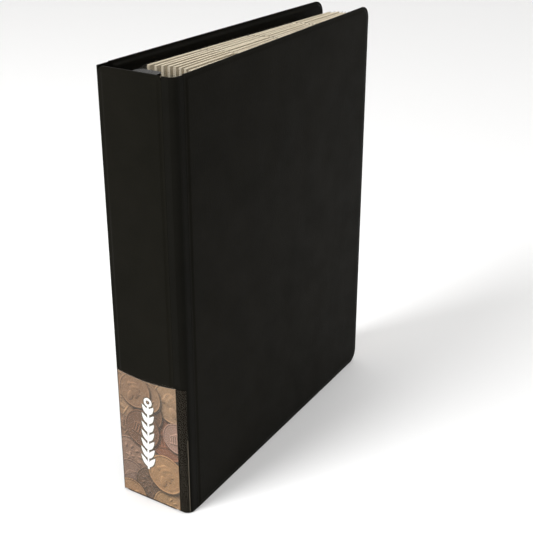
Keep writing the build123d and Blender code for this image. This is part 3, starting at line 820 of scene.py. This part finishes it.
def margin_sheet(place, seed):
    """The punched strip from the pockets to the rings, with an oval slot at each ring and soft waves."""
    run = BEND_TO_MARGIN + place.hole + MARGIN_PAST_HOLE
    slot = BEND_TO_MARGIN + place.hole - SLOT_OFFSET
    near, far = slot - SLOT_REACH, slot + SLOT_REACH
    s = np.concatenate([np.linspace(0, near, 10), np.linspace(near, far, 25), [run]])
    s = np.unique(s)
    z = [np.linspace(PAGE_FOOT, PAGE_FOOT + PAGE_HEIGHT, 40)]
    z += [np.linspace(height - 3.4, height + 3.4, 21) for height in RING_HEIGHTS]
    z = np.unique(np.concatenate(z).round(3))
    before, after = np.clip(s, 0, BEND_TO_MARGIN), np.clip(s - BEND_TO_MARGIN, 0, None)
    straight = before[:, None] * -place.along + after[:, None] * place.way
    plan = place.start + straight
    normal = np.where((s < BEND_TO_MARGIN)[:, None], place.across, (place.way[1], -place.way[0]))
    normal = normal * np.sign(normal @ place.across)[:, None]
    mid_s, mid_z = (s[1:] + s[:-1]) / 2, (z[1:] + z[:-1]) / 2
    keep = np.ones((len(mid_s), len(mid_z)), bool)
    for height in RING_HEIGHTS:
        inside_s = np.clip(np.abs(mid_s - slot) - SLOT_STRAIGHT_HALF, 0, None)[:, None]
        keep &= np.hypot(inside_s, (mid_z - height)[None]) > SLOT_RADIUS
    wave = 0.07 * ripple(s[:, None], z[None], 38, seed) * smooth(s / 2)[:, None]

    def sheet(offset):
        x = plan[:, 0, None] + normal[:, 0, None] * (wave + offset)
        y = plan[:, 1, None] + normal[:, 1, None] * (wave + offset)
        return np.stack(np.broadcast_arrays(x, y, z[None]), -1)

    return shell_arrays(sheet(MARGIN_HALF), sheet(-MARGIN_HALF), keep)


def square_ring(radius, half, corners=16):
    """A square outline and a round one inside it, point for point: each direction's point on the circle,
    and the same direction pushed out to the square."""
    angle = np.linspace(0, 2 * np.pi, corners, endpoint=False) + np.pi / corners * 2
    hole = np.stack([np.cos(angle), np.sin(angle)], -1)
    square = hole / np.abs(hole).max(1, keepdims=True)
    return square * half, hole * radius


def card_leaf(radius, low, high):
    """One leaf of a folded card, with its round window: 64 faces."""
    square, hole = square_ring(radius, HOLDER / 2 - 0.05)
    rings = []
    for outline, level in ((square, low), (square, high), (hole, high), (hole, low)):
        rings.append(np.stack([outline[:, 0], np.full(16, level), outline[:, 1]], -1))
    return wheel(rings)


def wheel(rings):
    """A closed band of faces through a loop of point rings."""
    count, size = len(rings), len(rings[0])
    ring, step = np.meshgrid(np.arange(count), np.arange(size), indexing="ij")
    after, right = (ring + 1) % count, (step + 1) % size
    faces = np.stack([ring * size + step, ring * size + right, after * size + right, after * size + step], -1)
    return np.concatenate(rings), faces.reshape(-1, 4)


def closed_disc(rings, size=16):
    """Rings of points from one side's middle to the other's: bands of four-cornered faces between them
    and a flat many-sided face at each end. Returns points, bands and ends."""
    ring, step = np.meshgrid(np.arange(len(rings) - 1), np.arange(size), indexing="ij")
    here, right = ring * size + step, ring * size + (step + 1) % size
    bands = np.stack([here, right, right + size, here + size], -1).reshape(-1, 4)
    first = np.arange(size)
    return np.concatenate(rings), bands, np.stack([first[::-1], first + (len(rings) - 1) * size])


def disc_ring(radius, level, size=16):
    """Points evenly round a circle at a level across the page."""
    angle = np.linspace(0, 2 * np.pi, size, endpoint=False)
    return np.stack([np.cos(angle) * radius, np.full(size, level), np.sin(angle) * radius], -1)


def coin_shape(radius):
    """A coin with a raised rim and a sunk field on each side: 50 faces."""
    half = 0.85
    return closed_disc([
        disc_ring(radius * 0.91, 0.14 - half), disc_ring(radius, -half),
        disc_ring(radius, half), disc_ring(radius * 0.91, half - 0.14),
    ])


def staple_bar(x, z, length, upright, side):
    """A flattened wire that stands just out of the card."""
    wide, tall = (0.28, length / 2) if upright else (length / 2, 0.28)
    base = np.array([(-wide, 0, -tall), (wide, 0, -tall), (wide, 0, tall), (-wide, 0, tall)])
    near = base + (x, side * 0.70, z)
    far = base * (0.86, 1, 0.86) + (x, side * 0.955, z)
    faces = [[0, 1, 2, 3], [7, 6, 5, 4], [0, 4, 5, 1], [1, 5, 6, 2], [2, 6, 7, 3], [3, 7, 4, 0]]
    if side < 0:
        faces = [f[::-1] for f in faces]
    return np.concatenate([near, far]), np.array(faces)


def join_discs(parts):
    """Several (points, bands, ends) discs as one."""
    points, bands = join_arrays([(p, bands) for p, bands, _ in parts])
    _, ends = join_arrays([(p, ends) for p, _, ends in parts])
    return points, [*bands.tolist(), *ends.tolist()]


WINDOW_OVERLAP = 0.6
WINDOW_LEVEL = 0.88
WINDOW_HALF = 0.02
STAPLE_LENGTH = 9.0
STAPLE_PLACES = ((-21.5, 0, True), (21.5, 0, True), (0, -21.5, False))


def make_page(number):
    """One page: its two films and punched margin, and twenty cards, each with its coin, two windows and
    six staple bars, put a little out of true by seeded draws."""
    place = PagePlace(number)
    body = f"page_{number:02d}"
    draw = np.random.default_rng(40 + number)
    films = join_arrays([*film_sheets(place, 50 * number), margin_sheet(place, 70 + number)])
    piece = new_piece(f"{body}_pocket_film", *films, body, POCKET_FILM)
    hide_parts(f"{body}_film")
    cards, discs, struck, wires, windows = [], [], [], [], []
    for column in range(COLUMNS):
        for row in range(ROWS):
            radius = COIN_RADII[row]
            middle = np.array([SEAM_WIDTH + 0.2 + HOLDER / 2 + column * PITCH, 0, 0])
            middle[2] = PAGE_FOOT + SEAM_WIDTH + HOLDER / 2 + row * ROW_PITCH + draw.uniform(0, 0.55)
            split = draw.uniform(-0.06, 0.06)
            for low, high in ((-CARD_HALF, split - 0.05), (split + 0.05, CARD_HALF)):
                points, faces = card_leaf(radius + WINDOW_OVERLAP, low, high)
                slip = np.array([draw.uniform(-0.12, 0.12), 0, draw.uniform(-0.05, 0.22)])
                cards.append((points + middle + slip, faces))
            tilt = draw.uniform(0, 2 * np.pi)
            points, *faces = coin_shape(radius)
            c, s = math.cos(tilt), math.sin(tilt)
            across, depth, up = points.T
            discs.append((np.stack([across * c - up * s, depth, across * s + up * c], -1) + middle, *faces))
            own = np.full(len(points), draw.uniform(0, 9))
            struck.append(np.stack([across / radius, up / radius, own], -1))
            for side in (-1, 1):
                levels = (side * WINDOW_LEVEL - WINDOW_HALF, side * WINDOW_LEVEL + WINDOW_HALF)
                points, *faces = closed_disc([disc_ring(radius + WINDOW_OVERLAP, level) for level in levels])
                windows.append((points + middle, *faces))
                for x, z, upright in STAPLE_PLACES:
                    wires.append(staple_bar(middle[0] + x, middle[2] + z, STAPLE_LENGTH, upright, side))
    points, faces = join_arrays(cards)
    piece = new_piece(f"{body}_card_holders", place.put(points), faces, body, CARD)
    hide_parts(f"{body}_holders")
    points, faces = join_discs(discs)
    piece = new_piece(f"{body}_struck_coins", place.put(points), faces, body, COIN_METAL)
    spots = np.concatenate(struck).astype(np.float32)
    piece.data.attributes.new("struck", "FLOAT_VECTOR", "POINT").data.foreach_set("vector", spots.ravel())
    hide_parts(f"{body}_coins")
    points, faces = join_arrays(wires)
    new_piece(f"{body}_staples", place.put(points), faces, body, STAPLE)
    points, faces = join_discs(windows)
    new_piece(f"{body}_holder_windows", place.put(points), faces, body, WINDOW_FILM)


for number in range(1, PAGES + 1):
    make_page(number)

# ---------------------------------------------------------------- ring mechanism

# The two levers take the near-black nickel, a painted dark reflection; the other metal parts take bright
# nickel.
for name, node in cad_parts.items():
    if any(word in name for word in ("ring_housing", "blade", "half_ring", "lever", "rivets", "pins")):
        node.data.materials.clear()
        node.data.materials.append(LEVER_NICKEL_PAINTED_DARK if name in ("top_lever", "bottom_lever") else PLATE)

# ---------------------------------------------------------------- camera, light and floor


CAMERA_SPOT = (0.3814, -0.4547, 0.4454)
CAMERA_YAW, CAMERA_PITCH = math.radians(-32.64), math.radians(24.52)
FLOOR_HALF = 30.0
FLOOR_Z = -0.0002


def make_camera():
    """The main view: from above the front cover's side, a little past the spine."""
    data = bpy.data.cameras.new("camera")
    data.lens = 71.01
    data.sensor_width = 36.0
    camera = bpy.data.objects.new("camera", data)
    bpy.context.scene.collection.objects.link(camera)
    level = math.cos(CAMERA_PITCH)
    ahead = Vector((math.sin(CAMERA_YAW) * level, math.cos(CAMERA_YAW) * level, -math.sin(CAMERA_PITCH)))
    camera.location = CAMERA_SPOT
    camera.rotation_mode = "QUATERNION"
    camera.rotation_quaternion = ahead.to_track_quat("-Z", "Y")
    data.clip_start = 0.02
    bpy.context.scene.camera = camera


def area_light(name, spot, aim, size, power):
    """A round soft lamp that stands at spot and faces aim."""
    data = bpy.data.lights.new(name, "AREA")
    data.shape = "DISK"
    data.size = size
    data.energy = power
    lamp = bpy.data.objects.new(name, data)
    lamp.location = spot
    lamp.rotation_mode = "QUATERNION"
    lamp.rotation_quaternion = (Vector(aim) - Vector(spot)).to_track_quat("-Z", "Y")
    bpy.context.scene.collection.objects.link(lamp)


def make_studio():
    """A pale room, bright round the sides and darker overhead, with a soft lamp before the spine, a wide
    soft light from the ceiling and a pale floor."""
    world = bpy.data.worlds.new("studio")
    bpy.context.scene.world = world
    world.use_nodes = True
    nodes, links = world.node_tree.nodes, world.node_tree.links
    nodes.clear()
    out = nodes.new("ShaderNodeOutputWorld")
    pale = nodes.new("ShaderNodeBackground")
    way = nodes.new("ShaderNodeSeparateXYZ")
    links.new(nodes.new("ShaderNodeTexCoord").outputs["Generated"], way.inputs[0])
    ramp = nodes.new("ShaderNodeValToRGB")
    ramp.color_ramp.elements[0].position = 0.10
    ramp.color_ramp.elements[0].color = (1.0, 0.99, 0.97, 1)
    ramp.color_ramp.elements[1].position = 0.36
    ramp.color_ramp.elements[1].color = (0.20, 0.195, 0.19, 1)
    links.new(way.outputs["Z"], ramp.inputs[0])
    links.new(ramp.outputs[0], pale.inputs["Color"])
    pale.inputs["Strength"].default_value = 1.1
    links.new(pale.outputs[0], out.inputs["Surface"])
    area_light("key", (-0.5, -1.2, 1.3), (0, 0.1, 0.15), 0.8, 30)
    sun = bpy.data.lights.new("ceiling", "SUN")
    sun.energy = 1.8
    sun.angle = math.radians(70)
    ceiling = bpy.data.objects.new("ceiling", sun)
    ceiling.rotation_euler = (math.radians(-14), math.radians(10), 0)
    bpy.context.scene.collection.objects.link(ceiling)
    mesh = bpy.data.meshes.new("floor")
    corners = [(x * FLOOR_HALF, y * FLOOR_HALF, FLOOR_Z) for x, y in ((-1, -1), (1, -1), (1, 1), (-1, 1))]
    mesh.from_pydata(corners, [], [(0, 1, 2, 3)])
    floor = bpy.data.objects.new("floor", mesh)
    f = Finish("pale_floor").set(Base_Color=(0.95, 0.95, 0.95), Roughness=0.9)
    mesh.materials.append(f.material)
    bpy.context.scene.collection.objects.link(floor)
    scene = bpy.context.scene
    scene.view_settings.view_transform = "Standard"
    scene.cycles.transparent_max_bounces = 48


make_camera()
make_studio()
